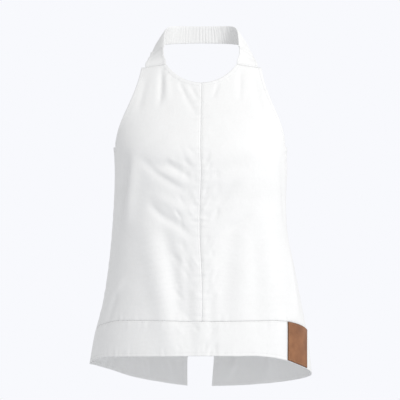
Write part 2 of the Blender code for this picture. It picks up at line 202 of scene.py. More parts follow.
class Nodes:
    """A short hand for a material's nodes."""

    def __init__(self, name: str) -> None:
        """Start a node material with its Principled shader."""
        self.material = bpy.data.materials.new(name)
        self.material.use_nodes = True
        self.tree = self.material.node_tree
        self.shader = self.tree.nodes["Principled BSDF"]

    def add(self, kind: str, **settings: object) -> bpy.types.Node:
        """Add a node and set its own properties."""
        node = self.tree.nodes.new(kind)
        for key, value in settings.items():
            setattr(node, key, value)
        return node

    def link(self, source: bpy.types.NodeSocket, target: bpy.types.NodeSocket) -> None:
        """Join two sockets."""
        self.tree.links.new(source, target)

    def math(self, what: str, first: object, second: object = None) -> bpy.types.NodeSocket:
        """A Math node on sockets or numbers; returns its output."""
        node = self.add("ShaderNodeMath", operation=what)
        for socket, value in zip(node.inputs, (first, second)):
            if isinstance(value, (int, float)):
                socket.default_value = value
            elif value is not None:
                self.link(value, socket)
        return node.outputs[0]

    def noise(self, place: bpy.types.NodeSocket, scale: float, detail: float) -> bpy.types.Node:
        """A noise texture on a place socket."""
        node = self.add("ShaderNodeTexNoise")
        node.inputs["Scale"].default_value = scale
        node.inputs["Detail"].default_value = detail
        self.link(place, node.inputs["Vector"])
        return node

    def ramp(self, factor: bpy.types.NodeSocket, low: tuple, high: tuple,
             span: tuple = (0.3, 0.7)) -> bpy.types.NodeSocket:
        """A two-colour ramp; returns its colour."""
        node = self.add("ShaderNodeValToRGB")
        for stop, at, colour in zip(node.color_ramp.elements, span, (low, high)):
            stop.position = at
            stop.color = (*colour, 1.0)
        self.link(factor, node.inputs["Fac"])
        return node.outputs["Color"]

    def bump(self, height: bpy.types.NodeSocket, distance: float, strength: float,
             under: bpy.types.NodeSocket | None = None) -> bpy.types.NodeSocket:
        """A Bump node, over another one's normal if given; returns its normal."""
        node = self.add("ShaderNodeBump")
        node.inputs["Distance"].default_value = distance
        node.inputs["Strength"].default_value = strength
        self.link(height, node.inputs["Height"])
        if under is not None:
            self.link(under, node.inputs["Normal"])
        return node.outputs["Normal"]


@dataclass(frozen=True)
class CottonFinish:
    """Plain-woven cotton: a fine over-and-under weave with slubs and soft crumples."""

    name: str
    light: tuple = (0.93, 0.93, 0.925)
    shade: tuple = (0.895, 0.895, 0.888)
    thread_pitch: float = 0.62 * MM
    crumple: float = 0.55

    def make(self) -> bpy.types.Material:
        """Build the material on the piece's own cloth map."""
        nodes = Nodes(self.name)
        shader = nodes.shader
        place = nodes.add("ShaderNodeUVMap", uv_map="cloth").outputs["UV"]
        split = nodes.add("ShaderNodeSeparateXYZ")
        nodes.link(place, split.inputs[0])
        turns = 2 * np.pi / self.thread_pitch
        warp = nodes.math("SINE", nodes.math("MULTIPLY", split.outputs[0], turns))
        weft = nodes.math("SINE", nodes.math("MULTIPLY", split.outputs[1], turns))
        weave = nodes.math("MULTIPLY", warp, weft)
        stretch = nodes.add("ShaderNodeMapping")
        stretch.inputs["Scale"].default_value = (1.0, 0.12, 1.0)
        nodes.link(place, stretch.inputs["Vector"])
        slub = nodes.noise(stretch.outputs[0], 900.0, 3.0)
        cloud = nodes.noise(place, 34.0, 5.0)
        tone = nodes.math("MULTIPLY", nodes.math("ADD", slub.outputs[0], cloud.outputs[0]), 0.5)
        nodes.link(nodes.ramp(tone, self.shade, self.light), shader.inputs["Base Color"])
        soft = nodes.bump(cloud.outputs[0], 1.6 * MM, self.crumple)
        fine = nodes.bump(nodes.noise(place, 190.0, 4.0).outputs[0], 0.35 * MM, 0.5, soft)
        thread = nodes.math("ADD", nodes.math("MULTIPLY", weave, 0.5), slub.outputs[0])
        nodes.link(nodes.bump(thread, 0.10 * MM, 0.35, fine), shader.inputs["Normal"])
        shader.inputs["Roughness"].default_value = 0.88
        shader.inputs["Specular IOR Level"].default_value = 0.25
        shader.inputs["Sheen Weight"].default_value = 0.12
        shader.inputs["Sheen Roughness"].default_value = 0.5
        return nodes.material


@dataclass(frozen=True)
class LeatherFinish:
    """Smooth tan leather: cloudy brown, fine pores, darker burnished rims."""

    name: str = "tan_leather"
    light: tuple = (0.335, 0.145, 0.062)
    deep: tuple = (0.225, 0.088, 0.034)
    rim: tuple = (0.085, 0.034, 0.016)

    def make(self) -> bpy.types.Material:
        """Build the material on Object coordinates and the piece's rim attribute."""
        nodes = Nodes(self.name)
        shader = nodes.shader
        place = nodes.add("ShaderNodeTexCoord").outputs["Object"]
        cloud = nodes.noise(place, 46.0, 6.0)
        body = nodes.ramp(cloud.outputs[0], self.deep, self.light, (0.32, 0.68))
        near = nodes.add("ShaderNodeAttribute", attribute_name="rim").outputs["Fac"]
        blend = nodes.add("ShaderNodeMix", data_type="RGBA")
        nodes.link(near, blend.inputs[0])
        nodes.link(body, blend.inputs[6])
        blend.inputs[7].default_value = (*self.rim, 1.0)
        nodes.link(blend.outputs[2], shader.inputs["Base Color"])
        pores = nodes.add("ShaderNodeTexVoronoi", feature="DISTANCE_TO_EDGE")
        pores.inputs["Scale"].default_value = 950.0
        nodes.link(place, pores.inputs["Vector"])
        grain = nodes.bump(pores.outputs["Distance"], 0.12 * MM, 0.6)
        soft = nodes.bump(nodes.noise(place, 240.0, 4.0).outputs[0], 0.3 * MM, 0.4, grain)
        nodes.link(soft, shader.inputs["Normal"])
        gloss = nodes.math("ADD", nodes.math("MULTIPLY", cloud.outputs[0], 0.22), 0.42)
        nodes.link(gloss, shader.inputs["Roughness"])
        return nodes.material


@dataclass(frozen=True)
class ThreadFinish:
    """Twisted sewing thread."""

    name: str
    colour: tuple

    def make(self) -> bpy.types.Material:
        """Build the material: a fine slanting ply on Object coordinates."""
        nodes = Nodes(self.name)
        place = nodes.add("ShaderNodeTexCoord").outputs["Object"]
        ply = nodes.noise(place, 2600.0, 2.0)
        dark = tuple(0.86 * part for part in self.colour)
        tint = nodes.ramp(ply.outputs[0], dark, self.colour)
        nodes.link(tint, nodes.shader.inputs["Base Color"])
        nodes.link(nodes.bump(ply.outputs[0], 0.08 * MM, 0.5), nodes.shader.inputs["Normal"])
        nodes.shader.inputs["Roughness"].default_value = 0.7
        return nodes.material


@dataclass(frozen=True)
class FloorFinish:
    """Pale matt studio floor."""

    name: str = "studio_floor"
    colour: tuple = (0.80, 0.81, 0.83)

    def make(self) -> bpy.types.Material:
        """Build the material with a faint mottle."""
        nodes = Nodes(self.name)
        place = nodes.add("ShaderNodeTexCoord").outputs["Object"]
        paler = tuple(min(1.0, 1.03 * part) for part in self.colour)
        tint = nodes.ramp(nodes.noise(place, 3.0, 2.0).outputs[0], self.colour, paler)
        nodes.link(tint, nodes.shader.inputs["Base Color"])
        nodes.shader.inputs["Roughness"].default_value = 0.9
        return nodes.material


# ------------------------------------------------------------------ the form


@dataclass(frozen=True)
class Section:
    """A level section of the form, in millimetres from the nape; powers over 2 square it off."""

    height: float
    half_width: float
    centre: float
    side: float
    front: float
    back: float
    front_power: float
    back_power: float


SECTIONS = (
    Section(-630, 190.0, 0.0, -77, -212, 65, 2.20, 2.20),
    Section(-575, 188.0, 0.0, -77, -209, 62, 2.20, 2.20),
    Section(-520, 181.0, 1.2, -77, -204, 58, 2.25, 2.25),
    Section(-460, 168.0, 3.0, -77, -196, 52, 2.30, 2.30),
    Section(-400, 157.6, 2.0, -77, -188, 46, 2.35, 2.30),
    Section(-345, 149.2, -0.8, -77, -182, 40, 2.40, 2.30),
    Section(-290, 145.9, -0.5, -77, -180, 38, 2.45, 2.30),
    Section(-240, 146.2, 1.2, -77, -183, 40, 2.50, 2.30),
    Section(-200, 146.9, 0.2, -76, -179, 41, 2.50, 2.25),
    Section(-165, 150.0, 0.6, -70, -161, 40, 2.40, 2.20),
    Section(-130, 151.5, 1.0, -57, -136, 38, 2.20, 2.20),
    Section(-100, 151.0, 1.4, -40, -114, 36, 2.10, 2.20),
    Section(-70, 143.0, 1.8, -24, -95, 33, 2.00, 2.20),
    Section(-40, 122.0, 2.0, -12, -81, 30, 2.00, 2.20),
)


@dataclass(frozen=True)
class Fold:
    """A soft ridge or trough between two points seen from the front, in millimetres."""

    wing: Wing
    x1: float
    z1: float
    x2: float
    z2: float
    width: float
    depth: float
    bow: float = 0.0


FOLDS = (
    # The side of the wearer's right: a deep lap under the arm and what runs on from it.
    Fold(Wing.FRONT, -123, -222, -142, -338, 9, -9.0, 3.0),
    Fold(Wing.FRONT, -110, -212, -122, -330, 13, 4.5),
    Fold(Wing.FRONT, -136, -300, -150, -420, 11, -3.5),
    Fold(Wing.FRONT, -128, -420, -160, -470, 8, 2.4),
    Fold(Wing.FRONT, -138, -440, -158, -500, 7, -2.6),
    # Long folds that fall from the bust to the hem.
    Fold(Wing.FRONT, -92, -318, -44, -560, 20, 5.0, 4.0),
    Fold(Wing.FRONT, -62, -330, -32, -500, 13, -5.5, 3.0),
    Fold(Wing.FRONT, 58, -322, 38, -500, 18, -5.0, -4.0),
    Fold(Wing.FRONT, 112, -300, 132, -560, 24, 4.5),
    Fold(Wing.FRONT, 88, -330, 92, -500, 14, -2.4, 3.0),
    Fold(Wing.FRONT, -24, -380, -14, -540, 9, -2.6),
    Fold(Wing.FRONT, 14, -400, 20, -545, 9, -2.2),
    # Drag lines under the bust, slanting in to the centre-front seam.
    Fold(Wing.FRONT, -96, -222, -24, -272, 8, -3.6, -4.0),
    Fold(Wing.FRONT, -80, -232, -28, -262, 6, 2.2, -3.0),
    Fold(Wing.FRONT, -78, -228, -10, -240, 9, -2.6),
    Fold(Wing.FRONT, -56, -226, -8, -256, 6, -2.4, -2.0),
    Fold(Wing.FRONT, -82, -296, -42, -330, 7, -3.0, -3.0),
    Fold(Wing.FRONT, -56, -312, -16, -345, 7, -2.6, -2.0),
    Fold(Wing.FRONT, -74, -282, -22, -308, 9, 2.0),
    Fold(Wing.FRONT, 78, -220, 20, -250, 13, -2.4, 3.0),
    Fold(Wing.FRONT, 82, -312, 46, -338, 7, -2.2, 2.0),
    Fold(Wing.FRONT, 60, -262, 12, -300, 10, -1.8, 2.0),
    # Short folds that fan down from the strap joints and the neckline.
    Fold(Wing.FRONT, -66, -66, -68, -128, 5, -2.8, 1.0),
    Fold(Wing.FRONT, -58, -70, -54, -120, 6, 1.6),
    Fold(Wing.FRONT, -36, -88, -22, -118, 4, -1.7),
    Fold(Wing.FRONT, -18, -94, -4, -118, 4, -1.7),
    Fold(Wing.FRONT, -26, -112, -6, -146, 6, -1.8),
    Fold(Wing.FRONT, -92, -80, -104, -140, 7, -1.5),
    Fold(Wing.FRONT, 68, -68, 66, -120, 5, -1.8),
    Fold(Wing.FRONT, 90, -76, 104, -150, 8, -1.6),
    Fold(Wing.FRONT, 30, -90, 22, -116, 4, -1.2),
    # The side of the wearer's left.
    Fold(Wing.FRONT, 136, -226, 142, -330, 9, -2.6),
    Fold(Wing.FRONT, 150, -380, 164, -480, 9, 2.2),
    # The back falls in softer, wider folds.
    Fold(Wing.BACK, -96, -270, -122, -590, 18, -6.0, -3.0),
    Fold(Wing.BACK, -58, -330, -66, -600, 18, 5.0),
    Fold(Wing.BACK, 52, -300, 62, -610, 18, 4.5, 3.0),
    Fold(Wing.BACK, 98, -290, 126, -590, 16, -6.0, 3.0),
    Fold(Wing.BACK, -120, -222, -96, -300, 9, -2.6),
    Fold(Wing.BACK, 122, -222, 92, -310, 9, -2.8),
    Fold(Wing.BACK, -40, -240, -12, -330, 8, -2.2),
    Fold(Wing.BACK, 44, -250, 10, -320, 8, -2.0),
    Fold(Wing.BACK, -92, -560, -86, -612, 7, -2.6),
    Fold(Wing.BACK, -60, -560, -46, -608, 6, -2.4),
    Fold(Wing.BACK, 66, -560, 48, -606, 7, -2.8),
    Fold(Wing.BACK, 124, -560, 118, -604, 7, -2.6),
    Fold(Wing.BACK, -30, -470, -40, -600, 9, 2.0),
    Fold(Wing.BACK, 84, -480, 96, -600, 9, 2.2),
)


@dataclass
class Cloth:
    """The folded form that every panel and band lies on."""

    nape: Array
    crumples: int = 90
    fold_steps: int = 26
    folds: list = field(default_factory=list)

    def __post_init__(self) -> None:
        """Lay out each fold as a bowed line of points on the form."""
        for fold in (*FOLDS, *self._seam_crumples()):
            along = np.linspace(0.0, 1.0, self.fold_steps)
            bow = fold.bow * np.sin(np.pi * along)
            x = (fold.x1 + (fold.x2 - fold.x1) * along + bow) * MM
            z = (fold.z1 + (fold.z2 - fold.z1) * along) * MM
            line = self.plain(self.turn_at(x, z, fold.wing is Wing.BACK), z)
            fade = fold.depth * MM * np.sin(np.pi * np.clip(along, 0.02, 0.98)) ** 0.6
            self.folds.append((line, fade, fold.width * MM))

    def _seam_crumples(self) -> list:
        """Small uneven creases that gather beside the centre-front seam, from a fixed seed."""
        rng = np.random.default_rng(7)
        made = []
        for _ in range(self.crumples):
            side = rng.choice([-1.0, 1.0])
            x = side * rng.uniform(2, 34)
            z = rng.uniform(-545, -215)
            reach = rng.uniform(8, 26)
            slope = side * rng.uniform(0.2, 1.6)
            width = rng.uniform(2.6, 5.5)
            depth = rng.choice([-1.0, -1.0, 1.0]) * rng.uniform(0.35, 1.15)
            made.append(Fold(Wing.FRONT, x, z, x + slope * reach * 0.6, z + reach * 0.8,
                             width, depth))
        return made

    def section(self, height: Array) -> dict:
        """Read every section size at the heights, in metres; the powers as they are."""
        level = np.asarray(height) / MM
        knots = [row.height for row in SECTIONS]
        sizes = {}
        for name in ("half_width", "centre", "side", "front", "back"):
            sizes[name] = smooth_curve(knots, [getattr(r, name) for r in SECTIONS], level) * MM
        for name in ("front_power", "back_power"):
            sizes[name] = smooth_curve(knots, [getattr(r, name) for r in SECTIONS], level)
        return sizes

    def plain(self, turn: Array, height: Array) -> Array:
        """Work out the unfolded form.

        The reach from a section's middle is (|sin t / half_width|^p + |cos t / depth|^p)^(-1/p).

        Args:
            turn: The turns, in radians.
            height: The heights, in metres.

        Returns:
            Points, (..., 3), about the nape.
        """
        size = self.section(height)
        at_front = np.cos(turn) >= 0
        depth = np.where(at_front, size["side"] - size["front"], size["back"] - size["side"])
        power = np.where(at_front, size["front_power"], size["back_power"])
        across = np.abs(np.sin(turn) / size["half_width"]) ** power
        along = np.abs(np.cos(turn) / depth) ** power
        reach = (across + along) ** (-1.0 / power)
        x = size["centre"] + reach * np.sin(turn)
        y = size["side"] - reach * np.cos(turn)
        return np.stack([x, y, np.broadcast_to(height, x.shape)], axis=-1)

    def outward(self, turn: Array, height: Array) -> Array:
        """Unit normals of the plain form, across its slopes in turn and in height."""
        round_it = self.plain(turn + 1e-3, height) - self.plain(turn - 1e-3, height)
        up_it = self.plain(turn, height + MM) - self.plain(turn, height - MM)
        normal = np.cross(round_it, up_it)
        return normal / np.linalg.norm(normal, axis=-1, keepdims=True)

    def turn_at(self, x: Array, height: Array, back: bool = False) -> Array:
        """The turn at which the form stands at X, on its front or its back."""
        size = self.section(height)
        wing = "back" if back else "front"
        depth = np.abs(size[wing] - size["side"])
        power = size[wing + "_power"]
        off = np.asarray(x) - size["centre"]
        share = np.minimum(np.abs(off) / size["half_width"], 1.0)
        along = depth * (1.0 - share**power) ** (1.0 / power)
        turn = np.arctan2(np.abs(off), along)
        turn = np.pi - turn if back else turn
        return np.where(off < 0, -turn, turn)

    def place_of(self, points: Array) -> tuple[Array, Array]:
        """The turn and height under each point, by its angle about its section's middle."""
        size = self.section(points[..., 2])
        turn = np.arctan2(points[..., 0] - size["centre"], size["side"] - points[..., 1])
        return turn, points[..., 2]

    def fold_shift(self, points: Array) -> Array:
        """How far the folds move each point: a bell exp(-(d/width)^2), faded at its ends."""
        flat = points.reshape(-1, 3)
        shift = np.zeros(len(flat))
        for line, fade, width in self.folds:
            middle = line[len(line) // 2]
            reach = np.linalg.norm(line - middle, axis=1).max() + 3 * width
            near = np.nonzero(np.linalg.norm(flat - middle, axis=1) < reach)[0]
            if not len(near):
                continue
            away = np.linalg.norm(flat[near][:, None] - line, axis=-1)
            bell = np.abs(fade) * np.exp(-((away / width) ** 2))
            shift[near] += np.sign(fade[len(fade) // 2]) * bell.max(axis=1)
        return shift.reshape(points.shape[:-1])


@dataclass(frozen=True)
class BandStation:
    """The band at a turn: its top seam and the hem, in degrees and millimetres."""

    turn: float
    seam: float
    hem: float


BAND = (
    BandStation(-180, -557, -621), BandStation(-150, -545, -609), BandStation(-133, -534, -598),
    BandStation(-118, -522, -583), BandStation(-102, -513, -571), BandStation(-88, -507, -565),
    BandStation(-76, -497, -555), BandStation(-64, -489, -548), BandStation(-50, -486, -545),
    BandStation(-25, -485.5, -542.5), BandStation(0, -485.5, -541.5),
    BandStation(25, -485.5, -542), BandStation(40, -485.5, -543), BandStation(49, -486, -546.5),
    BandStation(58, -488, -553), BandStation(66, -492, -561.5), BandStation(76, -500, -571),
    BandStation(88, -512, -582), BandStation(102, -523, -592), BandStation(120, -537, -604),
    BandStation(146, -550, -615), BandStation(180, -555, -619),
)


@dataclass(frozen=True)
class VentStation:
    """How far each vent edge hangs from the middle at a height, in millimetres."""

    height: float
    left: float
    right: float


VENT = (
    VentStation(-640, 22.5, 19.0), VentStation(-600, 23.0, 22.0), VentStation(-565, 22.5, 24.0),
    VentStation(-530, 19.0, 20.5), VentStation(-490, 12.0, 12.5), VentStation(-455, 4.0, 4.0),
    VentStation(-435, 0.0, 0.0), VentStation(-180, 0.0, 0.0),
)


@dataclass(frozen=True)
class Cut:
    """The pattern's own sizes, shared by the pieces that meet."""

    neck_centre: float = 2.0 * MM
    neckline_half_width: float = 60.0 * MM
    neckline_pit: float = -90.0 * MM
    neckline_top: float = -57.0 * MM
    neckline_squareness: float = 0.22
    armhole_top: tuple = (102.0 * MM, -62.0 * MM)
    armhole_handles: tuple = ((112.0 * MM, -125.0 * MM), (140.0 * MM, -150.0 * MM))
    underarm: float = -199.0 * MM
    back_dip: float = 5.0 * MM
    seam_turn_hem: float = 88.0
    seam_turn_underarm: float = 76.0
    seam_settles: float = -300.0 * MM

    def band_edge(self, column: str, turn: Array) -> Array:
        """The height of the band's seam or hem at each turn."""
        knots = [row.turn for row in BAND]
        return smooth_curve(knots, [getattr(r, column) for r in BAND], np.degrees(turn)) * MM

    def seam_turn(self, height: Array) -> Array:
        """The side seam's turn, from the underarm to below the waist."""
        share = smooth_step(np.asarray(height), self.seam_settles, self.underarm)
        lean = self.seam_turn_underarm - self.seam_turn_hem
        return np.radians(self.seam_turn_hem + lean * share)

    def neckline(self, off: Array) -> Array:
        """The neckline's height at a distance from its middle."""
        share = np.clip(np.abs(off) / self.neckline_half_width, 0.0, 1.0)
        square = self.neckline_squareness
        rise = (1 - square) * share**2 + square * share**4
        return self.neckline_pit + (self.neckline_top - self.neckline_pit) * rise

    def joint(self, off: Array) -> Array:
        """The height of the straight seam between a tab and its panel."""
        run = self.armhole_top[0] - self.neckline_half_width
        share = (np.abs(off) - self.neckline_half_width) / run
        return self.neckline_top + (self.armhole_top[1] - self.neckline_top) * share


# ------------------------------------------------------------------ sewn pieces


@dataclass
class SewnEdge:
    """An edge that is turned under, seamed or topstitched.

    `track` holds its (turn, height) pairs, `inwards` is +1 when the piece lies to the left of
    its run as seen from outside. `roll` sinks the very edge, as a pressed seam does.
    """

    track: Array
    inwards: float = 1.0
    allowance: float = 0.0
    rise: float = 0.0
    roll: float = 0.0
    stitches: tuple = ()
    pucker: float = 0.0
    pucker_pitch: float = 11.0 * MM
    seed: float = 1.0


@dataclass
class StitchRun:
    """A row of stitches: short threads that lie along a line of the cloth."""

    pitch: float = 3.1 * MM
    length: float = 2.3 * MM
    radius: float = 0.24 * MM
    around: int = 5
    rings: int = 3

    def mesh_arrays(self, middles: Array, runs: Array, ups: Array) -> tuple[Array, Array]:
        """Work out every stitch of a run at once: a spindle of rings sin(pi q)^0.5 wide.

        Args:
            middles: The stitches' middles, (N, 3).
            runs: Their unit directions, (N, 3).
            ups: The cloth's unit normals there, (N, 3).

        Returns:
            The vertices, and the triangles that join them.
        """
        sides = np.cross(ups, runs)
        q = (np.arange(self.rings) + 1.0) / (self.rings + 1.0)
        angle = 2 * np.pi * np.arange(self.around) / self.around
        along = np.concatenate([[-0.5], np.repeat(q - 0.5, self.around), [0.5]]) * self.length
        size = np.concatenate([[0.0], np.repeat(np.sin(np.pi * q) ** 0.5, self.around), [0.0]])
        ring = np.concatenate([[0.0], np.tile(angle, self.rings), [0.0]])
        up = size * np.sin(ring) * self.radius
        out = size * np.cos(ring) * self.radius
        points = (middles[:, None] + along[None, :, None] * runs[:, None]
                  + up[None, :, None] * ups[:, None] + out[None, :, None] * sides[:, None])
        step = np.arange(self.around)
        following = (step + 1) % self.around
        cap = np.stack([0 * step, 1 + following, 1 + step], axis=-1)
        last = 1 + (self.rings - 1) * self.around
        end = np.stack([0 * step + 1 + self.rings * self.around, last + step,
                        last + following], axis=-1)
        body = []
        for ring_start in range(1, last, self.around):
            low, high = ring_start + step, ring_start + following
            up_low, up_high = low + self.around, high + self.around
            body += [np.stack([low, high, up_high], -1), np.stack([low, up_high, up_low], -1)]
        one = np.concatenate([cap, *body, end])
        count = points.shape[1]
        faces = (one[None] + count * np.arange(len(middles))[:, None, None]).reshape(-1, 3)
        return points.reshape(-1, 3), faces


class Sewing:
    """Collects the stitches of every piece and makes them as joined meshes."""

    def __init__(self) -> None:
        """Start with no thread."""
        self.runs: dict[str, list] = {}

    def sew(self, thread: str, line: Array, ups: Array, kind: StitchRun) -> None:
        """Lay stitches along a line.

        Args:
            thread: The name of the joined piece that holds them.
            line: Points along the seam, (K, 3).
            ups: Unit normals at those points.
            kind: The stitch's sizes.
        """
        length = lengths_along(line)
        count = max(2, int(length[-1] / kind.pitch))
        at = (np.arange(count) + 0.5) * length[-1] / count
        read = [np.interp(at, length, line[:, k]) for k in range(3)]
        middles = np.stack(read, axis=-1)
        ahead = np.stack([np.interp(at + kind.length / 2, length, line[:, k])
                          for k in range(3)], axis=-1)
        behind = np.stack([np.interp(at - kind.length / 2, length, line[:, k])
                           for k in range(3)], axis=-1)
        runs = ahead - behind
        runs /= np.linalg.norm(runs, axis=-1, keepdims=True)
        normal = np.stack([np.interp(at, length, ups[:, k]) for k in range(3)], axis=-1)
        normal -= (normal * runs).sum(axis=-1, keepdims=True) * runs
        normal /= np.linalg.norm(normal, axis=-1, keepdims=True)
        self.runs.setdefault(thread, []).append(kind.mesh_arrays(middles, runs, normal))

    def finish(self, thread: str, material: bpy.types.Material, slot: Slot) -> bpy.types.Object:
        """Join one thread's stitches into a piece, dress it and hang it on the body."""
        points, faces, start = [], [], 0
        for run_points, run_faces in self.runs[thread]:
            points.append(run_points)
            faces.append(run_faces + start)
            start += len(run_points)
        piece = make_mesh(thread, np.concatenate(points), np.concatenate(faces).tolist())
        dress(piece, material)
        return piece


@dataclass
class ClothPiece:
    """A panel or band: a grid on the form, with its sewn edges."""

    name: str
    node: str
    cloth: Cloth
    cut: Cut
    wall: float = 0.9 * MM
    proud: float = 0.0
    edges: list = field(default_factory=list)
    lines: list = field(default_factory=list)

    def grid(self) -> Array:
        """The piece's own grid of (turn, height)."""
        raise NotImplementedError

    def prepare(self) -> None:
        """Work out each sewn edge's line on the plain form, finely and evenly spaced."""
        self.lines = []
        for edge in self.edges:
            points = self.cloth.plain(edge.track[:, 0], edge.track[:, 1])
            length = lengths_along(points)
            at = np.linspace(0.0, length[-1], max(8, int(length[-1] / (1.2 * MM))))
            track = [np.interp(at, length, edge.track[:, k]) for k in range(2)]
            self.lines.append(self.cloth.plain(*track))

    def relief(self, points: Array) -> Array:
        """The small shape of the sewn edges at points of the plain form.

        Each edge adds a step one allowance wide, a groove exp(-((d-s)/w)^2) at each stitch
        line, a rolled rim, and puckers that fade away from it.

        Args:
            points: Points of the plain form.

        Returns:
            How far each point moves out.
        """
        shift = np.zeros(points.shape[:-1])
        for edge, line in zip(self.edges, self.lines):
            away, place = nearest_on_line(points, line)
            if edge.allowance:
                width = edge.allowance
                shift += edge.rise * (1 - smooth_step(away, width - MM, width + MM))
            for inset in edge.stitches:
                shift -= 0.32 * MM * np.exp(-(((away - inset) / (1.3 * MM)) ** 2))
            if edge.roll:
                shift -= edge.roll * np.exp(-((away / (1.6 * MM)) ** 2))
            if edge.pucker:
                inset = edge.stitches[0] if edge.stitches else 0.0
                wave = ripple(place, edge.pucker_pitch, edge.seed)
                swell = 0.55 + 0.45 * ripple(place, 7.3 * edge.pucker_pitch, edge.seed + 1.7)
                reach = np.exp(-(((away - inset) / (0.75 * edge.pucker_pitch)) ** 2))
                shift += edge.pucker * wave * swell * reach
        return shift

    def surface(self, turn: Array, height: Array, lift: float = 0.0) -> Array:
        """Points of the finished outer face, about the nape, moved out by `lift`."""
        points = self.cloth.plain(turn, height)
        shift = self.cloth.fold_shift(points) + self.relief(points) + self.proud + lift
        return points + self.cloth.outward(turn, height) * shift[..., None]

    def build(self, material: bpy.types.Material) -> bpy.types.Object:
        """Make the shell, dress it and let it stand for its solid."""
        self.prepare()
        grid = self.grid()
        turn, height = grid[..., 0], grid[..., 1]
        points = self.surface(turn, height) + self.cloth.nape
        uv = np.stack([turn * 0.14, height], axis=-1)
        if turn[0, -1] < turn[0, 0]:
            points, uv = points[:, ::-1], uv[:, ::-1]
        faces = grid_faces(*turn.shape)
        piece = make_mesh(self.name, points.reshape(-1, 3), faces.tolist(), uv.reshape(-1, 2))
        thicken(piece, self.wall)
        dress(piece, material, self.node)
        return piece

    def stitch(self, sewing: Sewing, kind: StitchRun, thread: str, inside: bool = False) -> None:
        """Sew every stitch line of every edge, on the outer face or through to the inner one."""
        for edge, line in zip(self.edges, self.lines):
            turn, height = self.cloth.place_of(line)
            normal = self.cloth.outward(turn, height)
            run = np.gradient(line, axis=0)
            run /= np.linalg.norm(run, axis=-1, keepdims=True)
            across = np.cross(normal, run) * edge.inwards
            for inset in edge.stitches:
                turn, height = self.cloth.place_of(line + across * inset)
                lift = -self.wall - 0.12 * MM if inside else 0.12 * MM
                points = self.surface(turn, height, lift) + self.cloth.nape
                sewing.sew(thread, points[2:-2], self.cloth.outward(turn, height)[2:-2], kind)


def coons(bottom: Array, top: Array, inner: Array, outer: Array) -> Array:
    """Fill four meeting edges: the two ruled grids added, less the corners' plane."""
    u = np.linspace(0.0, 1.0, len(bottom))[None, :, None]
    v = np.linspace(0.0, 1.0, len(inner))[:, None, None]
    ruled = (1 - v) * bottom[None] + v * top[None] + (1 - u) * inner[:, None] + u * outer[:, None]
    low = (1 - u) * bottom[0] + u * bottom[-1]
    high = (1 - u) * top[0] + u * top[-1]
    return ruled - (1 - v) * low - v * high


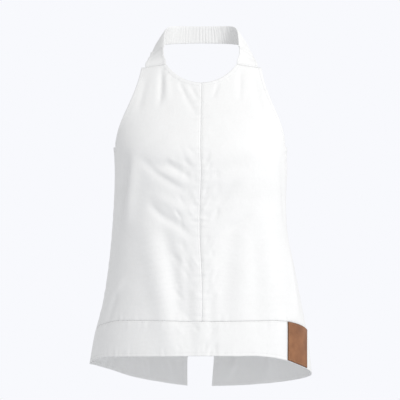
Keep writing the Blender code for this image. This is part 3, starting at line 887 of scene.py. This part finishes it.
@dataclass
class FrontPanel(ClothPiece):
    """One front panel, from the centre-front seam to the side seam and armhole."""

    side: int = 1
    across: int = 150
    along: int = 230
    joint_share: float = 4 / 14
    seam_share: float = 16 / 24

    def _even(self, edge: Array, count: int) -> Array:
        """The edge with its points an even distance apart on the form."""
        length = lengths_along(self.cloth.plain(edge[:, 0], edge[:, 1]))
        at = np.linspace(0.0, length[-1], count)
        return np.stack([np.interp(at, length, edge[:, k]) for k in range(2)], axis=-1)

    def _from_front(self, off: Array, height: Array) -> Array:
        """An edge given by its distance from the middle and its height."""
        middle = self.cloth.section(height)["centre"]
        return np.stack([self.cloth.turn_at(middle + self.side * off, height), height], axis=-1)

    def armhole(self, count: int) -> Array:
        """The armhole edge: a cubic from the underarm up to the strap joint."""
        cut, cloth = self.cut, self.cloth
        low_turn = self.side * cut.seam_turn(cut.underarm)
        low = cloth.plain(np.array([low_turn]), np.array([cut.underarm]))[0]
        centre = cloth.section(cut.underarm)["centre"]
        start = (self.side * (low[0] - centre), cut.underarm)
        ends = np.array([start, *cut.armhole_handles[::-1], cut.armhole_top])
        t = np.linspace(0.0, 1.0, count)[:, None]
        weights = np.hstack([(1 - t) ** 3, 3 * t * (1 - t) ** 2, 3 * t**2 * (1 - t), t**3])
        off, height = (weights @ ends).T
        return self._from_front(off, height)

    def side_seam(self, low: float, count: int) -> Array:
        """The side seam from a low height up to the underarm."""
        height = np.linspace(low, self.cut.underarm, count)
        return np.stack([self.side * self.cut.seam_turn(height), height], axis=-1)

    def tracks(self) -> dict[str, Array]:
        """Every edge of the panel, evenly spaced."""
        cut, side = self.cut, self.side
        n_joint = int(self.across * self.joint_share)
        n_neck = self.across - n_joint
        n_seam = int(self.along * self.seam_share)
        turns = np.linspace(0.0, side * np.radians(cut.seam_turn_hem), self.across + 1)
        bottom = np.stack([turns, cut.band_edge("seam", turns)], axis=-1)
        off = np.linspace(0.0, cut.neckline_half_width, 400)
        neck = self._from_front(off, cut.neckline(off))
        neck[0, 0] = 0.0
        off = np.linspace(cut.neckline_half_width, cut.armhole_top[0], 200)
        joint = self._from_front(off, cut.joint(off))
        outer = self.side_seam(bottom[-1, 1], n_seam + 1)
        armhole = self._even(self.armhole(600), self.along - n_seam + 1)
        middle = np.linspace(bottom[0, 1], neck[0, 1], self.along + 1)
        return {
            "bottom": bottom, "neck": self._even(neck, n_neck + 1),
            "joint": self._even(joint, n_joint + 1), "seam": outer, "armhole": armhole,
            "middle": np.stack([0 * middle, middle], axis=-1),
        }

    def grid(self) -> Array:
        """The panel's grid, filled between its edges and held just off the middle."""
        t = self.tracks()
        top = np.concatenate([t["neck"], t["joint"][1:]])
        outer = np.concatenate([t["seam"], t["armhole"][1:]])
        grid = coons(t["bottom"], top, t["middle"], outer)
        grid[:, 0, 0] += self.side * 0.4 * MM
        grid[0, :, 1] += 0.1 * MM
        return grid

    def sew_edges(self) -> None:
        """Name the panel's sewn edges."""
        t, way = self.tracks(), float(self.side)
        seed = 2.0 + self.side
        self.edges = [
            SewnEdge(t["middle"], -way, roll=1.2 * MM, stitches=(3.2 * MM,),
                     pucker=0.75 * MM, pucker_pitch=13 * MM, seed=1.3),
            SewnEdge(t["neck"], -way, allowance=7 * MM, rise=0.45 * MM, stitches=(6.2 * MM,),
                     pucker=0.28 * MM, seed=seed),
            SewnEdge(t["armhole"], way, allowance=6 * MM, rise=0.45 * MM, stitches=(5.0 * MM,),
                     pucker=0.25 * MM, seed=seed + 1),
            SewnEdge(t["seam"], way, roll=1.0 * MM, pucker=0.5 * MM, pucker_pitch=17 * MM,
                     seed=3.1),
            SewnEdge(t["joint"], -way, roll=0.7 * MM, stitches=(2.2 * MM,)),
            SewnEdge(t["bottom"], way, roll=0.9 * MM, pucker=0.45 * MM, pucker_pitch=15 * MM,
                     seed=4.4),
        ]


@dataclass
class BackPanel(FrontPanel):
    """One back panel, from the side seam to the centre-back seam and vent."""

    across: int = 110
    along: int = 170

    def vent_turn(self, height: Array) -> Array:
        """The turn of the centre-back edge, at the seam or along the open vent."""
        column = "right" if self.side > 0 else "left"
        knots = [row.height for row in VENT]
        gap = smooth_curve(knots, [getattr(r, column) for r in VENT],
                           np.asarray(height) / MM) * MM
        middle = self.cloth.section(height)["centre"]
        return self.cloth.turn_at(middle + self.side * np.maximum(gap, 0.1 * MM), height, True)

    def tracks(self) -> dict[str, Array]:
        """Every edge of the panel."""
        cut, side = self.cut, self.side
        end = side * np.radians(cut.seam_turn_hem)
        low = cut.band_edge("seam", side * np.pi)
        turns = np.linspace(end, float(self.vent_turn(low)), self.across + 1)
        bottom = np.stack([turns, cut.band_edge("seam", turns)], axis=-1)
        seam = self.side_seam(bottom[0, 1], self.along + 1)
        share = np.linspace(0.0, 1.0, self.along + 1)
        heights = bottom[-1, 1] + (cut.underarm - cut.back_dip - bottom[-1, 1]) * share
        middle = np.stack([self.vent_turn(heights), heights], axis=-1)
        turns = np.linspace(seam[-1, 0], middle[-1, 0], self.across + 1)
        dip = cut.back_dip * np.sin(np.linspace(0.0, np.pi / 2, self.across + 1)) ** 2
        top = np.stack([turns, cut.underarm - dip], axis=-1)
        return {"bottom": bottom, "seam": seam, "middle": middle, "top": top}

    def grid(self) -> Array:
        """The panel's grid, filled between its edges."""
        t = self.tracks()
        grid = coons(t["bottom"], t["top"], t["seam"], t["middle"])
        grid[0, :, 1] += 0.1 * MM
        return grid

    def sew_edges(self) -> None:
        """Name the panel's sewn edges."""
        t, way = self.tracks(), float(self.side)
        self.edges = [
            SewnEdge(t["top"], -way, allowance=8 * MM, rise=0.45 * MM, stitches=(7.0 * MM,),
                     pucker=0.25 * MM, seed=1.9),
            SewnEdge(t["seam"], -way, roll=1.0 * MM, pucker=0.5 * MM, pucker_pitch=17 * MM,
                     seed=3.1),
            SewnEdge(t["middle"], way, roll=0.8 * MM, stitches=(7.5 * MM,), pucker=0.5 * MM,
                     pucker_pitch=14 * MM, seed=2.2),
            SewnEdge(t["bottom"], -way, roll=0.9 * MM, pucker=0.4 * MM, pucker_pitch=15 * MM,
                     seed=4.4),
        ]


@dataclass
class Band(BackPanel):
    """A stretch of the doubled hem band; side 0 is the whole front."""

    across: int = 200
    along: int = 34

    def ends(self) -> tuple[float, float]:
        """The turns at which the band starts and stops."""
        edge = np.radians(self.cut.seam_turn_hem)
        if self.side == 0:
            return -edge, edge
        low = self.cut.band_edge("seam", self.side * np.pi)
        return self.side * edge, float(self.vent_turn(low))

    def grid(self) -> Array:
        """The band's grid, from the hem up to its top seam."""
        start, stop = self.ends()
        turns = np.linspace(start, stop, self.across + 1)
        seam, hem = self.cut.band_edge("seam", turns), self.cut.band_edge("hem", turns)
        share = np.linspace(0.0, 1.0, self.along + 1)[:, None]
        heights = hem + (seam - 0.1 * MM - hem) * share
        turns = np.broadcast_to(turns, heights.shape).copy()
        if self.side:
            inner = self.vent_turn(heights[:, -1])
            share = np.linspace(0.0, 1.0, self.across + 1)
            turns = start + (inner[:, None] - start) * share
        return np.stack([turns, heights], axis=-1)

    def sew_edges(self) -> None:
        """Name the band's sewn edges."""
        grid = self.grid()
        way = 1.0 if self.side == 0 else float(self.side)
        self.edges = [
            SewnEdge(grid[-1], -way, roll=0.5 * MM, stitches=(2.4 * MM,), pucker=0.35 * MM,
                     pucker_pitch=15 * MM, seed=4.4),
            SewnEdge(grid[0], way, allowance=6.5 * MM, rise=0.3 * MM, stitches=(5.6 * MM,),
                     pucker=0.35 * MM, pucker_pitch=12 * MM, seed=5.2),
        ]
        if self.side:
            self.edges.append(SewnEdge(grid[:, -1], way, allowance=9 * MM, rise=0.3 * MM,
                                       stitches=(8.0 * MM,), pucker=0.3 * MM, seed=2.8))
            self.edges.append(SewnEdge(grid[:, 0], -way, roll=0.8 * MM))
        else:
            self.edges.append(SewnEdge(grid[:, 0], -1.0, roll=0.8 * MM))
            self.edges.append(SewnEdge(grid[:, -1], 1.0, roll=0.8 * MM))


# ------------------------------------------------------------------ strap and patch


@dataclass(frozen=True)
class StrapStation:
    """The strap's outer face at a place: its neck edge and its armhole edge, in millimetres."""

    top: tuple
    bottom: tuple


STRAP = (
    StrapStation((0.0, 1.4, 15.0), (0.0, 1.4, -14.5)),
    StrapStation((25.0, 0.2, 15.0), (28.0, 0.4, -15.0)),
    StrapStation((44.0, -5.5, 14.8), (49.0, -4.5, -16.0)),
    StrapStation((56.0, -16.0, 13.0), (66.0, -12.0, -18.0)),
    StrapStation((62.0, -28.0, 7.0), (78.0, -22.0, -19.5)),
    StrapStation((64.0, -44.0, -8.0), (83.0, -30.5, -26.5)),
    StrapStation((64.5, -59.0, -24.5), (86.0, -39.0, -34.5)),
)
TAB_MIDDLE = StrapStation((64.5, -70.0, -40.0), (91.5, -54.5, -47.0))


def strap_edges(stations: list, at: Array) -> tuple[Array, Array]:
    """Read the strap's two edges smoothly at places 0 to 1 along its stations."""
    table = np.array([[*row.top, *row.bottom] for row in stations])
    knots = lengths_along(table[:, :3] + table[:, 3:])
    knots = knots / knots[-1]
    read = np.stack([smooth_curve(knots, table[:, k], at) for k in range(6)], axis=-1) * MM
    return read[:, :3], read[:, 3:]


@dataclass
class NeckElastic:
    """The gathered elastic strap: a flat cotton tube, ruched on elastic all along."""

    cut: Cut
    nape: Array
    along: int = 860
    around: int = 30
    thickness: float = 2.4 * MM
    crown: float = 1.0 * MM
    gather_pitch: float = 5.6 * MM
    gather_depth: float = 0.95 * MM
    wall: float = 0.5 * MM
    flat: tuple = (0.0, 0.0)

    def build(self, material: bpy.types.Material) -> bpy.types.Object:
        """Carry a flattened loop along the strap and ruffle it.

        Round the loop, the place across is cos^0.35 and the half thickness sin^0.7, each with
        its sign. The gathers are |sin|^0.8 ridges whose line wanders across the strap.

        Args:
            material: The casing's finish.

        Returns:
            The strap's piece.
        """
        other = [StrapStation((-row.top[0], *row.top[1:]), (-row.bottom[0], *row.bottom[1:]))
                 for row in STRAP[:0:-1]]
        s = np.linspace(0.0, 1.0, self.along)
        top, bottom = strap_edges([*other, *STRAP], s)
        middle = (top + bottom) / 2
        length = lengths_along(middle)
        run = np.gradient(middle, axis=0)
        normal = np.cross(top - bottom, run)
        normal /= np.linalg.norm(normal, axis=-1, keepdims=True)
        angle = 2 * np.pi * np.arange(self.around) / self.around
        cosine, sine = np.cos(angle), np.sin(angle)
        across = np.sign(cosine) * np.abs(cosine) ** 0.35
        depth = np.sign(sine) * np.abs(sine) ** 0.7
        w, l = across[None, :], length[:, None]
        face = np.where(depth >= 0, 1.0, -1.0)[None, :]
        wander = 0.42 * ripple(l, 46 * MM, 1.1) * w + 0.25 * ripple(l + 9 * MM * w, 31 * MM, 2.0)
        q = l / self.gather_pitch + wander + 0.35 * ripple(l, 70 * MM, 0.4) + 0.25 * face
        ridge = np.abs(np.sin(np.pi * q)) ** 0.8 - 0.55
        swell = 0.75 + 0.35 * ripple(l, 23 * MM, 2.9)
        gather = self.gather_depth * ridge * swell * (1 - 0.25 * np.abs(w) ** 6)
        fade = smooth_step(np.minimum(l, length[-1] - l), 0.0, 5 * MM)
        half = self.thickness / 2 + gather * fade
        spread = 1.0 + 0.045 * ridge * fade * np.abs(w) ** 3
        width = (top - bottom)[:, None] / 2
        points = middle[:, None] + width * (w * spread)[..., None]
        bulge = self.crown * (1 - w**2) - self.thickness / 2 + depth[None, :] * half
        points = points + normal[:, None] * bulge[..., None]
        points = points + self.nape + np.array([self.cut.neck_centre, 0.0, 0.0])
        faces = grid_faces(self.along, self.around, closed=True)[:, ::-1].tolist()
        loop = np.concatenate([points, points[:, :1]], axis=1)
        girths = np.linalg.norm(np.diff(loop, axis=1), axis=-1).sum(axis=1)
        runs = np.linalg.norm(np.diff(points, axis=0), axis=-1).sum(axis=0)
        self.flat = (float(girths.mean()), float(runs.mean()))
        LOG.info("strap girth and developed length %s, middle %.4f", self.flat, length[-1])
        uv = np.stack(np.broadcast_arrays(l * 1.9, (angle * 10 * MM)[None, :]), axis=-1)
        piece = make_mesh("gathered_neck_strap", points.reshape(-1, 3), faces, uv.reshape(-1, 2))
        thicken(piece, self.wall)
        dress(piece, material, "neck_elastic")
        return piece


@dataclass
class StrapTab:
    """A plain tab between the elastic and its front panel."""

    panel: FrontPanel
    word: str
    side: int
    ends: tuple = (60.5 * MM, 95.5 * MM)
    lead: float = 5.0 * MM
    wall: float = 1.2 * MM
    across: int = 44
    along: int = 48

    def _end(self, above: float) -> StrapStation:
        """The tab's two edges on the form, a height above its seam with the panel."""
        off = np.array(self.ends)
        track = self.panel._from_front(off, self.panel.cut.joint(off) + above)
        points = self.panel.cloth.plain(track[:, 0], track[:, 1])
        points[:, 0] = self.side * (points[:, 0] - self.panel.cut.neck_centre)
        return StrapStation(tuple(points[0] / MM), tuple(points[1] / MM))

    def surface(self, s: Array, w: Array, lift: float = 0.0) -> tuple[Array, Array]:
        """Work out the tab: a ruled strip between its edges, stepped at each seam.

        Args:
            s: Places along it, 0 at the elastic, 1 at the panel.
            w: Places across it, 0 at the armhole edge, 1 at the neck edge.
            lift: How far to move out.

        Returns:
            The points and their normals, (S, W, 3).
        """
        rows = [STRAP[-1], TAB_MIDDLE, self._end(self.lead), self._end(0.15 * MM)]
        top, bottom = strap_edges(rows, s)
        flat = bottom[:, None] + (top - bottom)[:, None] * w[None, :, None]
        run = np.gradient(flat, axis=0)
        normal = np.cross(np.broadcast_to((top - bottom)[:, None], flat.shape), run)
        normal /= np.linalg.norm(normal, axis=-1, keepdims=True)
        length = lengths_along((top + bottom) / 2)
        near_elastic, near_panel = length[:, None], (length[-1] - length)[:, None]
        shift = 0.9 * MM * np.exp(-(((near_elastic - 1.4 * MM) / (1.5 * MM)) ** 2))
        shift = shift + 0.5 * MM * (1 - smooth_step(near_elastic, 7 * MM, 8.5 * MM))
        shift = shift - 0.6 * MM * np.exp(-((near_panel / (1.6 * MM)) ** 2))
        rim = np.minimum(w, 1 - w)[None, :] * np.linalg.norm(top - bottom, axis=1)[:, None]
        shift = shift + 0.3 * MM * (1 - smooth_step(rim, 4 * MM, 5.5 * MM))
        shift = shift + 0.35 * MM * ripple(near_elastic + 12 * MM * w[None, :], 16 * MM, 1.2)
        points = flat + normal * (shift + lift)[..., None]
        points[..., 0] = self.panel.cut.neck_centre + self.side * points[..., 0]
        normal = normal * np.array([self.side, 1.0, 1.0])
        return points + self.panel.cloth.nape, normal

    def build(self, material: bpy.types.Material) -> bpy.types.Object:
        """Make the tab's shell and dress it."""
        s, w = np.linspace(0.004, 1.0, self.along), np.linspace(0.0, 1.0, self.across)
        points, _ = self.surface(s, w)
        uv = np.stack(np.meshgrid(w * 0.034, s * 0.04), axis=-1)
        if self.side < 0:
            points, uv = points[:, ::-1], uv[:, ::-1]
        faces = grid_faces(self.along, self.across).tolist()
        piece = make_mesh("plain_tab_" + self.word, points.reshape(-1, 3), faces,
                          uv.reshape(-1, 2))
        thicken(piece, self.wall)
        dress(piece, material, "strap_tab_" + self.word)
        return piece

    def stitch(self, sewing: Sewing, kind: StitchRun, thread: str) -> None:
        """Sew across both ends and down both edges."""
        s, w = np.linspace(0.0, 1.0, 120), np.linspace(0.0, 1.0, 60)
        points, normal = self.surface(s, w, 0.12 * MM)
        for row in (9, 20, 112):
            sewing.sew(thread, points[row, 3:-3], normal[row, 3:-3], kind)
        for column in (5, 54):
            sewing.sew(thread, points[4:-4, column], normal[4:-4, column], kind)


@dataclass
class LeatherPatch:
    """The bare leather patch, sewn over the band beside the side seam."""

    band: Band
    edges: tuple = (142.5 * MM, 176.5 * MM)
    hem_clearance: float = 1.0 * MM
    lift: float = 0.35 * MM
    wall: float = 1.9 * MM
    round_over: float = 0.7 * MM
    across: int = 72
    along: int = 78

    def surface(self, u: Array, v: Array, lift: float) -> tuple[Array, Array]:
        """Points and normals of the patch at shares across and up, moved out by `lift`."""
        cloth, cut = self.band.cloth, self.band.cut
        sides = []
        for x in self.edges:
            middle = cloth.turn_at(x, cut.band_edge("hem", np.radians(cut.seam_turn_hem)))
            hem = cut.band_edge("hem", middle) + self.hem_clearance
            seam = cut.band_edge("seam", middle) - 0.15 * MM
            sides.append(cloth.turn_at(x, hem + (seam - hem) * v))
        turns = sides[0][:, None] + (sides[1] - sides[0])[:, None] * u[None, :]
        hem = cut.band_edge("hem", turns) + self.hem_clearance
        seam = cut.band_edge("seam", turns) - 0.15 * MM
        heights = hem + (seam - hem) * v[:, None]
        points = cloth.plain(turns, heights)
        normal = cloth.outward(turns, heights)
        shift = cloth.fold_shift(points) + self.band.proud + self.lift + lift
        return points + normal * shift[..., None] + cloth.nape, normal

    def build(self, material: bpy.types.Material) -> bpy.types.Object:
        """Make a slab whose outer face rounds over at its rims: wall times (1 - (1 - d/r)^2)."""
        u, v = np.linspace(0.0, 1.0, self.across), np.linspace(0.0, 1.0, self.along)
        base, normal = self.surface(u, v, 0.0)
        wide = np.linalg.norm(base[0, -1] - base[0, 0]) * 1.25
        tall = np.linalg.norm(base[-1, 0] - base[0, 0])
        rim = np.minimum(np.minimum(u, 1 - u)[None, :] * wide, np.minimum(v, 1 - v)[:, None] * tall)
        over = np.clip(1 - rim / self.round_over, 0.0, 1.0)
        groove = 0.25 * MM * np.exp(-(((rim - 3.0 * MM) / (0.9 * MM)) ** 2))
        height = self.wall * (1 - 0.35 * over**2) - groove
        outer = base + normal * height[..., None]
        count = base.shape[0] * base.shape[1]
        front = grid_faces(*base.shape[:2])
        back = front[:, ::-1] + count
        index = np.arange(count).reshape(base.shape[:2])
        loop = np.concatenate([index[0, :-1], index[:-1, -1], index[-1, :0:-1], index[:0:-1, 0]])
        ahead = np.roll(loop, -1)
        rims = np.stack([loop, loop + count, ahead + count, ahead], axis=-1)
        points = np.concatenate([outer.reshape(-1, 3), base.reshape(-1, 3)])
        faces = np.concatenate([front, back, rims]).tolist()
        piece = make_mesh("tan_leather_patch", points, faces)
        shade = np.clip(1 - rim / (1.3 * MM), 0.0, 1.0) ** 1.5
        values = np.concatenate([shade.ravel(), np.ones(count)])
        layer = piece.data.attributes.new("rim", "FLOAT", "POINT")
        layer.data.foreach_set("value", values.astype(np.float32))
        piece.data.set_sharp_from_angle(angle=np.radians(50))
        dress(piece, material, "leather_patch")
        return piece

    def stitch(self, sewing: Sewing, kind: StitchRun, thread: str) -> None:
        """Sew round the patch, one stitch line inside its rims."""
        u, v = np.linspace(0.0, 1.0, 61), np.linspace(0.0, 1.0, 67)
        points, normal = self.surface(u, v, self.wall - 0.1 * MM)
        low, high = 3, -4
        sewing.sew(thread, points[low, low:high], normal[low, low:high], kind)
        sewing.sew(thread, points[high, low:high], normal[high, low:high], kind)
        sewing.sew(thread, points[low:high, low], normal[low:high, low], kind)
        sewing.sew(thread, points[low:high, high], normal[low:high, high], kind)


# ------------------------------------------------------------------ the studio


@dataclass(frozen=True)
class Studio:
    """A pale floor, a bright plain surround, one large soft light and a level long-lens view."""

    middle: tuple = (-0.0005, -0.075, -0.2875)
    distance: float = 3.0
    frame_width: float = 0.680
    sensor: float = 36.0
    floor_height: float = -1.05
    floor_size: float = 2.2
    backdrop: tuple = (0.939, 0.947, 0.982)
    surround: float = 0.70
    key_place: tuple = (2.3, -2.6, 1.5)
    key_power: float = 62.0
    key_size: float = 1.5

    def camera(self) -> None:
        """Look level along +Y from the front, the frame as wide as stated at the middle."""
        data = bpy.data.cameras.new("camera")
        data.sensor_width = self.sensor
        data.lens = self.sensor * self.distance / self.frame_width
        data.clip_end = 50.0
        camera = bpy.data.objects.new("camera", data)
        camera.location = (self.middle[0], self.middle[1] - self.distance, self.middle[2])
        camera.rotation_euler = (np.pi / 2, 0.0, 0.0)
        bpy.context.scene.collection.objects.link(camera)
        bpy.context.scene.camera = camera

    def surroundings(self) -> None:
        """A bright even backdrop to the eye, and a gentler even light on the cloth."""
        world = bpy.data.worlds.new("studio")
        world.use_nodes = True
        tree = world.node_tree
        light = tree.nodes["Background"]
        light.inputs["Color"].default_value = (0.98, 0.985, 1.0, 1.0)
        light.inputs["Strength"].default_value = self.surround
        seen = tree.nodes.new("ShaderNodeBackground")
        seen.inputs["Color"].default_value = (*self.backdrop, 1.0)
        path = tree.nodes.new("ShaderNodeLightPath")
        mix = tree.nodes.new("ShaderNodeMixShader")
        tree.links.new(path.outputs["Is Camera Ray"], mix.inputs[0])
        tree.links.new(light.outputs[0], mix.inputs[1])
        tree.links.new(seen.outputs[0], mix.inputs[2])
        tree.links.new(mix.outputs[0], tree.nodes["World Output"].inputs[0])
        bpy.context.scene.world = world
        bpy.context.scene.view_settings.view_transform = "Standard"

    def key(self) -> None:
        """One large soft square light, high on the viewer's right."""
        data = bpy.data.lights.new("key", "AREA")
        data.energy = self.key_power
        data.size = self.key_size
        data.color = (1.0, 0.995, 0.985)
        lamp = bpy.data.objects.new("key", data)
        place = np.array(self.key_place)
        aim = np.array(self.middle) - place
        pitch = np.arccos(-aim[2] / np.linalg.norm(aim))
        lamp.location = place
        lamp.rotation_euler = (pitch, 0.0, np.arctan2(-aim[0], aim[1]))
        bpy.context.scene.collection.objects.link(lamp)

    def floor(self) -> None:
        """A plain pale floor below the hanging top."""
        half, z = self.floor_size, self.floor_height
        corners = np.array([[-half, -half, z], [half, -half, z], [half, half, z], [-half, half, z]])
        piece = make_mesh("floor", corners, [[0, 1, 2, 3]])
        piece.data.materials.append(FloorFinish().make())


@dataclass(frozen=True)
class SheetCut:
    """A cloth piece's flat width and length in metres, its area, and what it hangs from."""

    flat: tuple
    area: float
    supports: tuple


@dataclass
class HalterTop:
    """The whole top: its pieces in the order that they are made."""

    nape: Array
    cut: Cut = field(default_factory=Cut)

    def build(self) -> None:
        """Build, dress and sew every piece."""
        cloth = Cloth(self.nape)
        cotton = CottonFinish("white_cotton").make()
        casing = CottonFinish("gathered_cotton", crumple=0.3).make()
        thread = ThreadFinish("white_thread", (0.90, 0.90, 0.89)).make()
        tan = ThreadFinish("tan_thread", (0.52, 0.33, 0.20)).make()
        sewing, seam, fine = Sewing(), StitchRun(), StitchRun(pitch=2.7 * MM, length=2.0 * MM)
        panels = {}
        for side, word in ((-1, "right"), (1, "left")):
            front = FrontPanel("front_" + word, "front_panel_" + word, cloth, self.cut, side=side)
            back = BackPanel("back_" + word, "back_panel_" + word, cloth, self.cut, side=side)
            for panel in (front, back):
                panel.sew_edges()
                piece = panel.build(cotton)
                panel.stitch(sewing, seam, "panel_stitches")
                LOG.info("made %s", piece.name)
            panels[side] = front
        for side, name, node in ((0, "hem_band_front", "front_band"),
                                 (-1, "hem_band_back_right", "back_band_right"),
                                 (1, "hem_band_back_left", "back_band_left")):
            band = Band(name, node, cloth, self.cut, wall=1.3 * MM, proud=0.4 * MM, side=side,
                        across=420 if side == 0 else 200)
            band.sew_edges()
            piece = band.build(cotton)
            band.stitch(sewing, seam, "band_stitches")
            band.stitch(sewing, seam, "band_stitches", inside=True)
            LOG.info("made %s", piece.name)
            if side == 0:
                patch = LeatherPatch(band)
                patch.build(LeatherFinish().make())
                patch.stitch(sewing, fine, "patch_stitches")
        strap = NeckElastic(self.cut, self.nape)
        elastic = strap.build(casing)
        for side, word in ((-1, "right"), (1, "left")):
            tab = StrapTab(panels[side], word, side)
            piece = tab.build(cotton)
            tab.stitch(sewing, fine, "tab_stitches")
        for name, finish, slot in (("panel_stitches", thread, Slot.COTTON),
                                   ("band_stitches", thread, Slot.COTTON),
                                   ("tab_stitches", thread, Slot.COTTON),
                                   ("patch_stitches", tan, Slot.LEATHER)):
            piece = sewing.finish(name, finish, slot)
            LOG.info("sewed %s: %d faces", name, len(piece.data.polygons))


def main() -> None:
    """Build the studio and the top."""
    logging.basicConfig(level=logging.INFO, format="%(name)s: %(message)s")
    studio = Studio()
    studio.camera()
    studio.surroundings()
    studio.key()
    studio.floor()
    mounts = {mount["name"]: mount for mount in frame["record"]["mounts"]}
    HalterTop(np.array(mounts["nape"]["pos_m"], float)).build()


if __name__ == "__main__":
    main()
